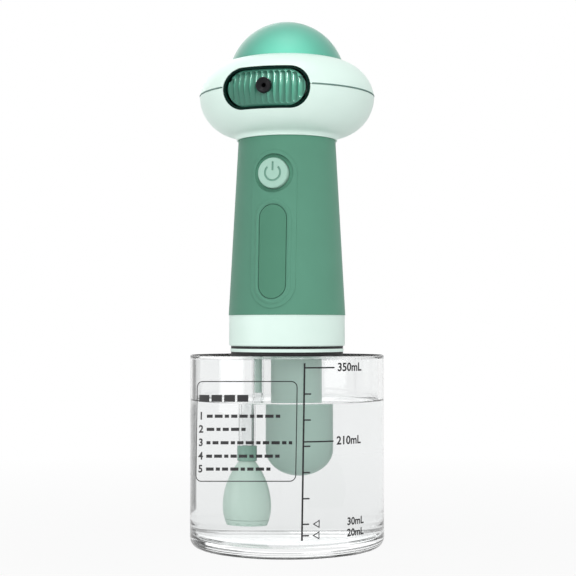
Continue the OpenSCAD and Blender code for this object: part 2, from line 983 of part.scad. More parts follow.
module tact_switch() {
    color("dimgray")
        on_front(button_z)
            difference() {
                translate([-switch_w / 2, switch_depth, -switch_w / 2])
                    cube([switch_w, switch_t, switch_w]);
                y_bar(plunger_r + plunger_gap, switch_depth - 1,
                      stem_end + plunger_l + button_travel + plunger_gap);
            }
}

module switch_board() {
    color("darkgreen")
        on_front(button_z)
            translate([-board_w / 2, board_depth, -board_h / 2])
                cube([board_w, board_t, board_h]);
}

module charge_board() {
    color("darkgreen")
        translate([-charge_board_w / 2, socket_y - charge_board_l, charge_board_z])
            cube([charge_board_w, charge_board_l - board_inset, board_t]);
}

module charge_socket() {
    color("silver")
        translate([0, 0, port_z])
            difference() {
                pill_bar(socket_w, socket_h, socket_y - socket_l, socket_y);
                pill_bar(socket_w - 2 * socket_wall, socket_h - 2 * socket_wall,
                         socket_y - socket_l + socket_back, socket_y + 1);
            }
}

// Soft cover over the charge port, hinged at its lower edge
module port_cover() {
    color("seagreen")
        mirror([0, 1, 0])
            difference() {
                intersection() {
                    translate([0, 0, port_z])
                        pill_bar(cover_w, cover_h, -far, -surface_r(port_z) / 2);
                    handle_cone(0);
                }
                handle_cone(cover_t);
            }
}

// Frame inside the handle that carries the pump
module chassis() {
    color("gray")
        difference() {
            union() {
                translate([0, 0, foot_ring_z])
                    ring(chassis_r, chassis_r - chassis_w, chassis_t);
                for (s = [-1, 1])
                    translate([pump_x - chassis_post_w / 2,
                               s > 0 ? lug_y - chassis_post_in : 2 - chassis_r,
                               foot_ring_z])
                        cube([chassis_post_w, chassis_r + 1 - lug_y, pump_lift]);
            }
            for (s = [-1, 1])
                translate([pump_x, s * lug_y, foot_ring_z - 1])
                    cylinder(r = head_screw_r + fit_gap, h = pump_lift + 2);
        }
}

// Outline of the gear pump round its two gears
module pump_outline(r) {
    square([2 * r, 2 * gear_y], center = true);
    for (s = [-1, 1])
        translate([0, s * gear_y])
            circle(r);
}

module pump_lugs(h) {
    for (s = [-1, 1])
        translate([0, s * lug_y, 0])
            cylinder(r = lug_r, h = h);
}

module pump_cover() {
    color("whitesmoke")
        translate([pump_x, 0, pump_z])
            difference() {
                union() {
                    linear_extrude(pump_plate)
                        pump_outline(pump_end_r);
                    pump_lugs(pump_plate);
                }
                for (s = [-1, 1])
                    translate([0, s * lug_y, -1])
                        cylinder(r = head_screw_r, h = far);
                translate([0, -gear_y, pump_plate - pin_hold - fit_gap])
                    cylinder(r = shaft_r + run_gap, h = pin_hold + 1);
            }
}

module pump_body() {
    color("whitesmoke")
        translate([pump_x, 0, pump_z + pump_plate])
            difference() {
                union() {
                    linear_extrude(pump_top_z - pump_z - pump_plate)
                        pump_outline(pump_end_r);
                    pump_lugs(lug_h);
                    translate([0, 0, pump_mid_z - pump_z - pump_plate])
                        rotate([0, 90, 0])
                            translate([0, 0, -pump_end_r - port_l])
                                cylinder(r = port_r, h = 2 * (pump_end_r + port_l));
                }
                translate([0, 0, -1])
                    linear_extrude(gear_t + 2 * fit_gap + 1)
                        for (s = [-1, 1])
                            translate([0, s * gear_y])
                                circle(pocket_r);
                translate([0, 0, pump_mid_z - pump_z - pump_plate])
                    rotate([0, 90, 0])
                        cylinder(r = port_r - port_wall, h = far, center = true);
                translate([0, gear_y, 0])
                    cylinder(r = shaft_r + run_gap, h = far);
                translate([0, -gear_y, 0])
                    cylinder(r = shaft_r + run_gap, h = gear_t + 2 * fit_gap + pin_hold);
                for (s = [-1, 1])
                    translate([0, s * lug_y, -1])
                        cylinder(r = head_screw_r, h = lug_h);
            }
}

// Spur gear with involute teeth and a bore
module pump_gear(bore_r) {
    flank = [gear_root_r, gear_base_r * 1.01, (gear_base_r + gear_pr) / 2,
             gear_pr, (gear_pr + gear_tip_r) / 2, gear_tip_r];
    low = [for (r = flank) [r, -tooth_half(r)]];
    high = [for (i = [len(flank) - 1 : -1 : 0]) [flank[i], tooth_half(flank[i])]];
    tooth = concat(low, high);
    difference() {
        linear_extrude(gear_t)
            polygon([for (i = [0 : gear_n - 1], p = tooth)
                p[0] * [cos(p[1] + i * 360 / gear_n), sin(p[1] + i * 360 / gear_n)]]);
        translate([0, 0, -1])
            cylinder(r = bore_r, h = gear_t + 2);
    }
}

module drive_gear() {
    color("white")
        translate([pump_x, gear_y, gear_z])
            rotate(-90)
                pump_gear(shaft_r + run_gap / 2);
}

module motor_shaft() {
    color("silver")
        translate([pump_x, gear_y, gear_z])
            cylinder(r = shaft_r, h = pump_top_z - gear_z + motor_bearing_l);
}

module idler_gear() {
    color("white")
        translate([pump_x, -gear_y, gear_z])
            rotate(90 + 180 / gear_n)
                pump_gear(shaft_r + run_gap);
}

module idler_pin() {
    color("silver")
        translate([pump_x, -gear_y, gear_z - fit_gap - pin_hold])
            cylinder(r = shaft_r, h = gear_t + 2 * pin_hold);
}

module motor() {
    color("lightgray")
        translate([pump_x, gear_y, pump_top_z])
            difference() {
                union() {
                    cylinder(r = motor_r, h = motor_l - motor_cap_h);
                    cylinder(r = motor_r - motor_cap_w, h = motor_l);
                }
                translate([0, 0, -1])
                    cylinder(r = shaft_r + run_gap, h = motor_bearing_l + fit_gap + 1);
            }
}

// Quarter bend of a hose from straight up to along +X, its corner at the origin
module hose_bend_solid(r) {
    translate([hose_bend, 0, 0])
        rotate([90, 0, 0])
            rotate_extrude(angle = 90, start = 90)
                translate([hose_bend, 0])
                    circle(r);
}

module inlet_run(r, over) {
    leg_z = handle_z + fit_gap - over;
    translate([tube_x, 0, leg_z])
        cylinder(r = r, h = pump_mid_z - hose_bend - leg_z);
    translate([tube_x, 0, pump_mid_z - hose_bend])
        hose_bend_solid(r);
    translate([tube_x + hose_bend, 0, pump_mid_z])
        rotate([0, 90, 0])
            cylinder(r = r, h = pump_x - pump_end_r - fit_gap - tube_x - hose_bend + over);
}

module inlet_hose() {
    color("white")
        difference() {
            inlet_run(hose_r, 0);
            inlet_run(hose_bore / 2, 1);
        }
}

module outlet_run(r, over) {
    first_x = pump_x + pump_end_r + fit_gap - over;
    translate([first_x, 0, pump_mid_z])
        rotate([0, 90, 0])
            cylinder(r = r, h = outlet_x - hose_bend - first_x);
    translate([outlet_x, 0, pump_mid_z + hose_bend])
        rotate([0, 180, 0])
            hose_bend_solid(r);
    translate([outlet_x, 0, pump_mid_z + hose_bend])
        cylinder(r = r, h = hose_cross_z - pump_mid_z - 2 * hose_bend);
    translate([outlet_x, 0, hose_cross_z - hose_bend])
        mirror([1, 0, 0])
            hose_bend_solid(r);
    translate([hose_bend, 0, hose_cross_z])
        rotate([0, 90, 0])
            cylinder(r = r, h = outlet_x - 2 * hose_bend);
    translate([0, 0, hose_cross_z + hose_bend])
        mirror([0, 0, 1])
            hose_bend_solid(r);
    translate([0, 0, hose_cross_z + hose_bend])
        cylinder(r = r, h = nozzle_z - chamber_r - fit_gap - hose_cross_z - hose_bend + over);
}

module outlet_hose() {
    color("white")
        difference() {
            outlet_run(hose_r, 0);
            outlet_run(hose_bore / 2, 1);
        }
}

// Chamber where liquid and air turn to foam
module foam_chamber() {
    color("whitesmoke")
        difference() {
            union() {
                translate([0, 0, nozzle_z])
                    y_bar(chamber_r, chamber_y, chamber_y + chamber_l);
                translate([0, 0, nozzle_z - chamber_r - chamber_port_l])
                    cylinder(r = port_r, h = chamber_r + chamber_port_l);
            }
            translate([0, 0, nozzle_z])
                y_bar(chamber_bore_r, chamber_y - 1, chamber_y + chamber_l - chamber_end);
            translate([0, 0, nozzle_z - chamber_r - chamber_port_l - 1])
                cylinder(r = port_r - port_wall, h = chamber_r + chamber_port_l);
        }
}

module foam_mesh() {
    color("gainsboro")
        for (i = [1, 2])
            translate([0, 0, nozzle_z])
                y_bar(chamber_bore_r - fit_gap,
                      chamber_y + i * mesh_step, chamber_y + i * mesh_step + mesh_t);
}

module nozzle() {
    tip_y = nozzle_short - head_r;
    flange_y = chamber_y + fit_gap;
    color("black")
        translate([0, tip_y, nozzle_z])
            rotate([-90, 0, 0])
                rotate_extrude()
                    difference() {
                        union() {
                            square([nozzle_r, flange_y - tip_y + 1]);
                            translate([0, flange_y - tip_y])
                                square([chamber_bore_r - fit_gap, nozzle_flange_t]);
                        }
                        square([outlet_d / 2, far]);
                        polygon([[0, -1], [nozzle_r - nozzle_lip, -1], [nozzle_r - nozzle_lip, 0],
                                 [outlet_d / 2, nozzle_cone_l], [0, nozzle_cone_l]]);
                        translate([0, flange_y - tip_y + 1])
                            square([chamber_bore_r - fit_gap - nozzle_cup_wall, nozzle_flange_t]);
                        translate([nozzle_r, 0])
                            mirror([1, 0])
                                corner(nozzle_round);
                    }
}

// Fluted panel behind the window
module nozzle_panel() {
    color("mediumaquamarine")
        difference() {
            union() {
                intersection() {
                    translate([0, 0, window_z])
                        pill_bar(panel_w - 2 * fit_gap, panel_h - 2 * fit_gap, -far, 0);
                    translate([0, 0, window_z - window_h])
                        difference() {
                            union() {
                                cylinder(r = panel_face_r, h = 2 * window_h);
                                for (i = [-flute_n : flute_n])
                                    rotate(i * flute_step)
                                        translate([0, -flute_axis_r, 0])
                                            cylinder(r = flute_r, h = 2 * window_h);
                            }
                            translate([0, 0, -1])
                                cylinder(r = panel_back_r, h = 2 * window_h + 2);
                        }
                }
                translate([0, 0, nozzle_z])
                    y_bar(chamber_r, chamber_y - fit_gap - panel_boss_l - 0.5, chamber_y - fit_gap);
            }
            translate([0, 0, nozzle_z])
                y_bar(nozzle_r + fit_gap, -far, 0);
        }
}

// Dark frame round the fluted panel
module nozzle_bezel() {
    color("darkslategray")
        difference() {
            intersection() {
                window_bar(fit_gap);
                rotate_extrude() {
                    low_outline(bezel_inset);
                    up_outline(bezel_inset);
                }
            }
            window_bar(bezel_w);
            translate([0, 0, head_z - head_low])
                cylinder(r = bezel_back_r, h = far);
        }
}

// Lower head shell with its screw posts and chamber saddle
module head_lower() {
    color("honeydew")
        difference() {
            union() {
                rotate_extrude()
                    difference() {
                        low_outline(0);
                        low_outline(head_wall);
                        translate([head_r - seam_depth, head_z - seam_w])
                            square([far, far]);
                    }
                rotate_extrude()
                    difference() {
                        translate([flare_in_r, flare_z])
                            square([flare_end_r - flare_in_r, handle_top_z + head_wall / 2 - flare_z]);
                        translate([flare_out_r + flare_r, flare_z])
                            circle(flare_r);
                    }
                around(head_screw_n, post_pcr, head_screw_turn)
                    translate([0, 0, handle_top_z + head_wall / 2])
                        cylinder(r = post_r, h = deck_z - deck_t - handle_top_z - head_wall / 2);
                translate([-saddle_w / 2, -floor_hole_r - saddle_t - saddle_gap,
                           handle_top_z + head_wall / 2])
                    cube([saddle_w, saddle_t,
                          nozzle_z - chamber_r + saddle_rise - handle_top_z - head_wall / 2]);
            }
            translate([0, 0, handle_top_z - 1])
                cylinder(r = floor_hole_r, h = head_wall + 1 + eps);
            translate([0, 0, nozzle_z])
                y_bar(chamber_r + fit_gap, chamber_y - 1, chamber_y + chamber_l);
            window_bar(0);
            around(head_screw_n, post_pcr, head_screw_turn)
                translate([0, 0, deck_z - deck_t - head_screw_l])
                    cylinder(r = head_screw_r, h = head_screw_l + deck_t);
        }
}

// Upper head shell with the well that takes the dome
module head_upper() {
    color("honeydew")
        difference() {
            rotate_extrude() {
                difference() {
                    up_outline(0);
                    up_outline(head_wall);
                    translate([0, deck_z])
                        square([dome_hole_r, far]);
                }
                intersection() {
                    up_outline(0);
                    translate([dome_hole_r, deck_z - deck_t])
                        square([well_wall, far]);
                }
                translate([deck_hole_r, deck_z - deck_t])
                    square([dome_hole_r + well_wall - deck_hole_r, deck_t]);
            }
            window_bar(0);
            around(head_screw_n, post_pcr, head_screw_turn)
                translate([0, 0, deck_z - deck_t - 1])
                    cylinder(r = head_screw_r + fit_gap, h = deck_t + 2);
        }
}

module head_screws() {
    color("silver")
        around(head_screw_n, post_pcr, head_screw_turn)
            translate([0, 0, deck_z + screw_head_h])
                mirror([0, 0, 1])
                    screw(head_screw_head_r, head_screw_r - run_gap, head_screw_l);
}

// Domed cap on the deck
module dome() {
    color("mediumseagreen")
        rotate_extrude()
            difference() {
                union() {
                    intersection() {
                        translate([0, dome_z])
                            circle(dome_r);
                        translate([0, dome_seam_z])
                            square([dome_r, dome_r]);
                    }
                    translate([0, deck_z])
                        square([dome_base_r - fit_gap, dome_seam_z - deck_z]);
                }
                intersection() {
                    translate([0, dome_z])
                        circle(dome_r - dome_wall);
                    translate([0, deck_z - 1])
                        square([dome_base_r - dome_wall, far]);
                }
            }
}

jar();
jar_base();
jar_shoulder();
neck_ring();
root_seal();
collar_gasket();
collar();
bulkhead();
neck_seal();
neck_screws();
vent_valve();
pod();
battery_cell();
cell_pad();
inlet_barb();
dip_tube();
tube_coupling();
intake_filter();
filter_foot();
handle_shell();
grip_inlay();
power_button();
switch_plunger();
tact_switch();
switch_board();
charge_board();
charge_socket();
port_cover();
chassis();
pump_cover();
pump_body();
drive_gear();
motor_shaft();
idler_gear();
idler_pin();
motor();
inlet_hose();
outlet_hose();
foam_chamber();
foam_mesh();
nozzle();
nozzle_panel();
nozzle_bezel();
head_lower();
head_upper();
head_screws();
dome();
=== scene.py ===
import math

import bmesh
import bpy
from mathutils import Matrix, Vector


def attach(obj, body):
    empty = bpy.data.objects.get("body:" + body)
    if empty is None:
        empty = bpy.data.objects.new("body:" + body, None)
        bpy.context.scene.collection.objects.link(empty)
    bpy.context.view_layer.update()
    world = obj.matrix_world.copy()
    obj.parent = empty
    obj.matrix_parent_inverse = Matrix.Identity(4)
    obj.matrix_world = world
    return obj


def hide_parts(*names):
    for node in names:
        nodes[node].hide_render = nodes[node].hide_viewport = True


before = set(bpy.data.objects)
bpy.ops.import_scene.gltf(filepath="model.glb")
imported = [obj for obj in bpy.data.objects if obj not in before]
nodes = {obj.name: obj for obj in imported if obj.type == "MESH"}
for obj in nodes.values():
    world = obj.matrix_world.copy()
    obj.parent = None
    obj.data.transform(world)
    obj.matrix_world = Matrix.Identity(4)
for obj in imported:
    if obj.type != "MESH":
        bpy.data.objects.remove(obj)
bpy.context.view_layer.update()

mm = 0.001
scene = bpy.context.scene
print("stage: frame loaded,", len(nodes), "nodes")


# colours and node trees
def linear(text):
    parts = [int(text[i:i + 2], 16) / 255 for i in (1, 3, 5)]
    return tuple(p / 12.92 if p <= 0.04045 else ((p + 0.055) / 1.055) ** 2.4 for p in parts) + (1.0,)


def addNode(tree, kind, values=None, links=None, **settings):
    node = tree.nodes.new(kind)
    for key, value in settings.items():
        setattr(node, key, value)
    for key, value in (values or {}).items():
        node.inputs[key].default_value = value
    for key, source in (links or {}).items():
        tree.links.new(source, node.inputs[key])
    return node


def startMaterial(name):
    material = bpy.data.materials.new(name)
    material.use_nodes = True
    material.node_tree.nodes.clear()
    return material, material.node_tree


def finishMaterial(tree, shader):
    addNode(tree, "ShaderNodeOutputMaterial", None, {"Surface": shader.outputs[0]})


mixA, mixB, mixOut = 6, 7, 2  # the colour sockets of a Mix node


def mouldedPlastic(name, light, dark, roughness, grain=0.45, relief=0.006, edge=0.25, shine=0.5, sheen=0.0):
    # moulded plastic: a faint cloud in the tone where it flowed, a fine grain in the gloss from the spark
    # eroded mould, and edges just round enough to catch light; the real grain is near 0.1 mm, and it is
    # drawn coarser here so that it shows
    cloudSize = 16  # mm, as are grain, relief and edge
    material, tree = startMaterial(name)
    place = addNode(tree, "ShaderNodeTexCoord").outputs["Object"]
    cloud = addNode(tree, "ShaderNodeTexNoise", {"Scale": 1 / (cloudSize * mm), "Detail": 3.0},
                    {"Vector": place})
    spark = addNode(tree, "ShaderNodeTexNoise", {"Scale": 1 / (grain * mm), "Detail": 2.0}, {"Vector": place})
    tone = addNode(tree, "ShaderNodeMix", {mixA: linear(dark), mixB: linear(light)}, {0: cloud.outputs[0]},
                   data_type="RGBA")
    gloss = addNode(tree, "ShaderNodeMapRange", {"To Min": roughness * 0.85, "To Max": roughness * 1.15},
                    {"Value": spark.outputs[0]})
    soft = addNode(tree, "ShaderNodeBevel", {"Radius": edge * mm}, samples=6)
    skin = addNode(tree, "ShaderNodeBump", {"Strength": 0.35, "Distance": relief * mm},
                   {"Height": spark.outputs[0], "Normal": soft.outputs[0]})
    shader = addNode(tree, "ShaderNodeBsdfPrincipled",
                     {"IOR": 1.5, "Specular IOR Level": shine, "Sheen Weight": sheen, "Sheen Roughness": 0.4},
                     {"Base Color": tone.outputs[mixOut], "Roughness": gloss.outputs[0],
                      "Normal": skin.outputs[0]})
    finishMaterial(tree, shader)
    return material


def clearBody(name, tint, ior):
    # a clear body: its tint greys what is seen through it, its index bends it
    material, tree = startMaterial(name)
    shader = addNode(tree, "ShaderNodeBsdfPrincipled",
                     {"Base Color": linear(tint), "Roughness": 0.0, "IOR": ior, "Transmission Weight": 1.0})
    finishMaterial(tree, shader)
    return material


def brushedMetal(name, light, dark, roughness, streak):
    # turned or drawn metal: streaks round the axis that spread the highlight; the real ones are finer, and
    # these are drawn as wide, in mm, as they need to show
    streaksAround = 120  # to the metre, so each runs about 8 mm
    material, tree = startMaterial(name)
    place = addNode(tree, "ShaderNodeTexCoord").outputs["Object"]
    stretch = addNode(tree, "ShaderNodeMapping", {"Scale": (streaksAround, streaksAround, 1 / (streak * mm))},
                      {"Vector": place})
    lines = addNode(tree, "ShaderNodeTexNoise", {"Scale": 1.0, "Detail": 2.0}, {"Vector": stretch.outputs[0]})
    tone = addNode(tree, "ShaderNodeMix", {mixA: linear(dark), mixB: linear(light)}, {0: lines.outputs[0]},
                   data_type="RGBA")
    gloss = addNode(tree, "ShaderNodeMapRange", {"To Min": roughness * 0.7, "To Max": roughness * 1.4},
                    {"Value": lines.outputs[0]})
    shader = addNode(tree, "ShaderNodeBsdfPrincipled", {"Metallic": 1.0},
                     {"Base Color": tone.outputs[mixOut], "Roughness": gloss.outputs[0]})
    finishMaterial(tree, shader)
    return material


def seenItself(tree):
    # 1 where a surface is seen, straight or by way of clear and shiny things, and 0 where it only lights them
    path = addNode(tree, "ShaderNodeLightPath")
    seen = path.outputs["Is Camera Ray"]
    for kind in ("Is Glossy Ray", "Is Transmission Ray"):
        seen = addNode(tree, "ShaderNodeMath", None, {0: seen, 1: path.outputs[kind]},
                       operation="MAXIMUM").outputs[0]
    return seen


def whitePaper(name, near, far, nearShare):
    # matt paper sweep: white to the eye, with a faint shadow left close to the part
    material, tree = startMaterial(name)
    place = addNode(tree, "ShaderNodeTexCoord").outputs["Object"]
    away = addNode(tree, "ShaderNodeVectorMath", None, {0: place}, operation="LENGTH")
    fade = addNode(tree, "ShaderNodeMapRange",
                   {"From Min": near, "From Max": far, "To Min": nearShare, "To Max": 1.0},
                   {"Value": away.outputs["Value"]})
    share = addNode(tree, "ShaderNodeMath", None, {0: seenItself(tree), 1: fade.outputs[0]},
                    operation="MULTIPLY")
    matt = addNode(tree, "ShaderNodeBsdfDiffuse", {"Color": linear("#e7e7e7")})
    glow = addNode(tree, "ShaderNodeEmission", {"Color": linear("#ffffff"), "Strength": 1.0})
    both = addNode(tree, "ShaderNodeMixShader", None,
                   {0: share.outputs[0], 1: matt.outputs[0], 2: glow.outputs[0]})
    finishMaterial(tree, both)
    return material


def fadingCard(name, shade):
    # card of one even shade that fades out softly at its edges
    rim, solid = 0.5, 0.36  # in card widths from its middle
    material, tree = startMaterial(name)
    spot = addNode(tree, "ShaderNodeUVMap", uv_map="spot")
    offset = addNode(tree, "ShaderNodeVectorMath", {1: (0.5, 0.5, 0)}, {0: spot.outputs[0]},
                     operation="SUBTRACT")
    size = addNode(tree, "ShaderNodeVectorMath", None, {0: offset.outputs[0]}, operation="ABSOLUTE")
    sides = addNode(tree, "ShaderNodeSeparateXYZ", None, {0: size.outputs[0]})
    larger = addNode(tree, "ShaderNodeMath", None, {0: sides.outputs[0], 1: sides.outputs[1]},
                     operation="MAXIMUM")
    amount = addNode(tree, "ShaderNodeMapRange", {"From Min": rim, "From Max": solid},
                     {"Value": larger.outputs[0]}, interpolation_type="SMOOTHSTEP")
    clear = addNode(tree, "ShaderNodeBsdfTransparent")
    dull = addNode(tree, "ShaderNodeEmission", {"Color": linear(shade), "Strength": 1.0})
    both = addNode(tree, "ShaderNodeMixShader", None,
                   {0: amount.outputs[0], 1: clear.outputs[0], 2: dull.outputs[0]})
    finishMaterial(tree, both)
    return material


def mirrorCard(name, strength):
    # soft box that shows only as a mirror image, in the water and in the jar's foot
    material, tree = startMaterial(name)
    path = addNode(tree, "ShaderNodeLightPath")
    mirrored = addNode(tree, "ShaderNodeMath", {1: 0.5}, {0: path.outputs["Glossy Depth"]},
                       operation="GREATER_THAN")
    clear = addNode(tree, "ShaderNodeBsdfTransparent")
    glow = addNode(tree, "ShaderNodeEmission", {"Color": linear("#ffffff"), "Strength": strength})
    both = addNode(tree, "ShaderNodeMixShader", None,
                   {0: mirrored.outputs[0], 1: clear.outputs[0], 2: glow.outputs[0]})
    finishMaterial(tree, both)
    return material


finishes = {
    # satin ABS: broad soft highlights and an even tone
    "mint_plastic": mouldedPlastic("mint ABS, satin", "#e6faf2", "#dff6ec", 0.38),
    "green_plastic": mouldedPlastic("sea green ABS, satin", "#639c85", "#5d947d", 0.55, shine=0.2, sheen=0.1),
    "button_plastic": mouldedPlastic("pale green ABS, satin", "#a9d0c0", "#a1c8b8", 0.45),
    # deep toned ABS: a soft bloom towards the dome's rim, and a frame that is dark and dull
    "teal_plastic": mouldedPlastic("teal ABS, fine satin", "#539e8a", "#4c9682", 0.4, edge=0.3, shine=0.3,
                                   sheen=0.35),
    "dark_green_plastic": mouldedPlastic("bottle green ABS, matt", "#0c2a23", "#09211b", 0.55, shine=0.05),
    # gloss ABS: crisp lights along the flutes
    "insert": mouldedPlastic("teal ABS, moulded insert", "#458470", "#3e7b67", 0.22, edge=0.1),
    # soft touch coat and rubbers: dull, with hardly a highlight
    "inlay": mouldedPlastic("sea green soft touch", "#599179", "#538a72", 0.6, shine=0.25),
    "black_rubber": mouldedPlastic("black rubber", "#1c1c1d", "#141415", 0.65),
    "silicone": mouldedPlastic("milky silicone", "#e2e5e1", "#d8dcd7", 0.5),
    "green_silicone": mouldedPlastic("sea green silicone", "#5c937c", "#548a73", 0.6),
    # polypropylene: waxy, with a mild highlight
    "coupling": mouldedPlastic("deep sage polypropylene", "#83aa9b", "#7ba293", 0.4),
    "sage_plastic": mouldedPlastic("sage polypropylene", "#aac6bb", "#a2beb3", 0.36, shine=0.3),
    "pale_sage_plastic": mouldedPlastic("pale sage polypropylene", "#c8e0d5", "#bfd8cc", 0.36),
    # nylon and acetal: dense and smooth, slightly slick
    "black_plastic": mouldedPlastic("black nylon", "#161619", "#111114", 0.4, shine=0.2),
    "grey_plastic": mouldedPlastic("grey acetal", "#8d9295", "#83888b", 0.4),
    "white_plastic": mouldedPlastic("white acetal", "#eeefec", "#e4e6e2", 0.4),
    # lacquered laminate, tight film, and sponge with open pores
    "board": mouldedPlastic("green circuit laminate", "#2f6a45", "#27603c", 0.45),
    "cell_wrap": mouldedPlastic("blue shrink wrap", "#3c6fae", "#34659f", 0.35),
    "foam_pad": mouldedPlastic("dark sponge", "#4a4d50", "#3c3f41", 0.9, grain=0.8, relief=0.15),
    # bare and plated metal: highlights drawn out across the streaks
    "steel": brushedMetal("stainless steel", "#d2d3d3", "#bcbdbd", 0.28, 0.2),
    "motor_can": brushedMetal("zinc plated can", "#c3c6c8", "#a9adb0", 0.34, 0.25),
    # clear styrene: glassy, a little grey where it is thick
    "clear_plastic": clearBody("clear styrene", "#f6f7f7", 1.5),
}
ownFinish = {"tube_coupling": "coupling", "grip_inlay": "inlay"}  # nodes unlike the rest of their slot
for node in nodes.values():
    slotName = node.data.materials[0].name.split(".")[0]
    node.data.materials.clear()
    node.data.materials.append(finishes[ownFinish.get(node.name, slotName)])
print("stage: materials on the CAD nodes")


# camera, from the photograph's ellipses; mm, and degrees from the front of the part
view = {"azimuth": 15.2, "distance": 609.0, "height": 94.0, "pitch": 1.64, "yaw": -0.04, "lens": 87.5,
        "sensor": 36, "nearest": 10}
turn = math.radians(view["azimuth"])
cameraReach = view["distance"] * mm
cameraData = bpy.data.cameras.new("camera")
cameraData.lens = view["lens"]
cameraData.sensor_width = view["sensor"]
cameraData.clip_start = view["nearest"] * mm
camera = bpy.data.objects.new("camera", cameraData)
camera.location = (cameraReach * math.sin(turn), -cameraReach * math.cos(turn), view["height"] * mm)
camera.rotation_euler = (math.radians(90 + view["pitch"]), 0, turn + math.radians(view["yaw"]))
scene.collection.objects.link(camera)
scene.camera = camera
print("stage: camera")


# modelling helpers
def turned(bm, geom, degrees, steps, rise=0.0):
    # turns a profile about the upright axis, climbing by rise in all
    bmesh.ops.spin(bm, geom=geom, cent=(0, 0, 0), axis=(0, 0, 1), dvec=(0, 0, rise / steps),
                   angle=math.radians(degrees), steps=steps, use_merge=degrees == 360)


def spun(points, steps):
    bm = bmesh.new()
    verts = [bm.verts.new((r * mm, 0, z * mm)) for r, z in points]
    edges = [bm.edges.new(pair) for pair in zip(verts, verts[1:])]
    turned(bm, verts + edges, 360, steps)
    bmesh.ops.remove_doubles(bm, verts=bm.verts, dist=1e-6)
    bmesh.ops.recalc_face_normals(bm, faces=bm.faces)
    return bm


def roundRing(bm, r, z, radius, segments):
    near = 1e-5  # m

    def on(vert):
        return abs(vert.co.xy.length - r * mm) < near and abs(vert.co.z - z * mm) < near

    ring = [edge for edge in bm.edges if on(edge.verts[0]) and on(edge.verts[1])]
    bmesh.ops.bevel(bm, geom=ring, offset=radius * mm, offset_type="OFFSET", affect="EDGES",
                    segments=segments, profile=0.5, material=-1)


def longOval(bm, radius, half, axis, filled):
    # circle pulled apart by half each way along one axis, with straight sides between its ends
    segments = 64
    ring = bmesh.ops.create_circle(bm, cap_ends=filled, segments=segments, radius=radius,
                                   matrix=Matrix.Rotation(math.pi / segments, 4, "Z"))["verts"]
    for vert in ring:
        vert.co[axis] += math.copysign(half, vert.co[axis])
    return ring


def sliceAt(bm, place, normal, near):
    bmesh.ops.bisect_plane(bm, geom=bm.verts[:] + bm.edges[:] + bm.faces[:],
                           plane_co=place, plane_no=normal, dist=near)


def faceForward(bm):
    bm.normal_update()
    if sum(face.normal.z * face.calc_area() for face in bm.faces) < 0:
        bmesh.ops.reverse_faces(bm, faces=bm.faces)


def meshObject(name, bm, finish=None):
    mesh = bpy.data.meshes.new(name)
    bm.to_mesh(mesh)
    bm.free()
    if finish is not None:
        mesh.materials.append(finish)
    made = bpy.data.objects.new(name, mesh)
    scene.collection.objects.link(made)
    return made


def finalMesh(holder):
    return bpy.data.meshes.new_from_object(holder.evaluated_get(bpy.context.evaluated_depsgraph_get()))


def cutAway(bodyMesh, toolMesh):
    blanks = [meshObject("blank", bm) for bm in (bodyMesh, toolMesh)]
    for blank in blanks:
        if "custom_normal" in blank.data.attributes:
            blank.data.attributes.remove(blank.data.attributes["custom_normal"])
    cut = blanks[0].modifiers.new("cut", "BOOLEAN")
    cut.operation = "DIFFERENCE"
    cut.solver = "EXACT"
    cut.object = blanks[1]
    bm = bmesh.new()
    bm.from_mesh(finalMesh(blanks[0]))
    for blank in blanks:
        bpy.data.objects.remove(blank)
    return bm


def makePiece(name, bm, finish, body, stands=(), sharp=40):
    piece = meshObject(name, bm, finish)
    piece.data.shade_smooth()
    piece.data.set_sharp_from_angle(angle=math.radians(sharp))
    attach(piece, body)
    if stands:
        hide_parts(*stands)
    return piece


# clear jar in one closed body; its inner face is wet up to the water's edge, where it bends light less
jar = {"outer": 41.95, "inner": 39.8, "top": 82.4, "under": 81.7, "floor": 4.5, "neckIn": 21.7,
       "neckOut": 23.3, "neckTop": 93.4, "pushUp": 30.0, "rise": 1.0, "steps": 192,
       "footRound": 4.0, "rimRound": 0.6, "floorRound": 3.0, "lipRound": 0.4,
       "footEnd": 4.3, "rimEnd": 0.8, "floorEnd": 3.3, "lipEnd": 1.0}  # ends lie just past the roundings
water = {"level": 62.9, "climb": 0.7, "reach": 1.6, "bend": 0.35, "bendRise": 0.25, "steps": 192}
wet = water["level"] + water["climb"]
jarMesh = spun([
    (0, jar["rise"]), (jar["pushUp"] - jar["rise"], jar["rise"]), (jar["pushUp"], 0),
    (jar["outer"] - jar["footEnd"], 0), (jar["outer"], 0), (jar["outer"], jar["footEnd"]),
    (jar["outer"], jar["top"] - jar["rimEnd"]), (jar["outer"], jar["top"]),
    (jar["outer"] - jar["rimEnd"], jar["top"]),
    (jar["neckOut"], jar["top"]), (jar["neckOut"], jar["neckTop"]),
    (jar["neckIn"], jar["neckTop"]), (jar["neckIn"], jar["under"]),
    (jar["inner"] - jar["lipEnd"], jar["under"]), (jar["inner"], jar["under"]),
    (jar["inner"], jar["under"] - jar["lipEnd"]), (jar["inner"], wet),
    (jar["inner"], jar["floor"] + jar["floorEnd"]), (jar["inner"], jar["floor"]),
    (jar["inner"] - jar["floorEnd"], jar["floor"]), (0, jar["floor"])], jar["steps"])
for r, z, radius, segments in ((jar["outer"], 0, jar["footRound"], 8),
                               (jar["outer"], jar["top"], jar["rimRound"], 4),
                               (jar["inner"], jar["floor"], jar["floorRound"], 6),
                               (jar["inner"], jar["under"], jar["lipRound"], 3),
                               (jar["neckOut"], jar["neckTop"], jar["lipRound"], 3),
                               (jar["neckIn"], jar["neckTop"], jar["lipRound"], 3)):
    roundRing(jarMesh, r, z, radius, segments)
slack = 0.01
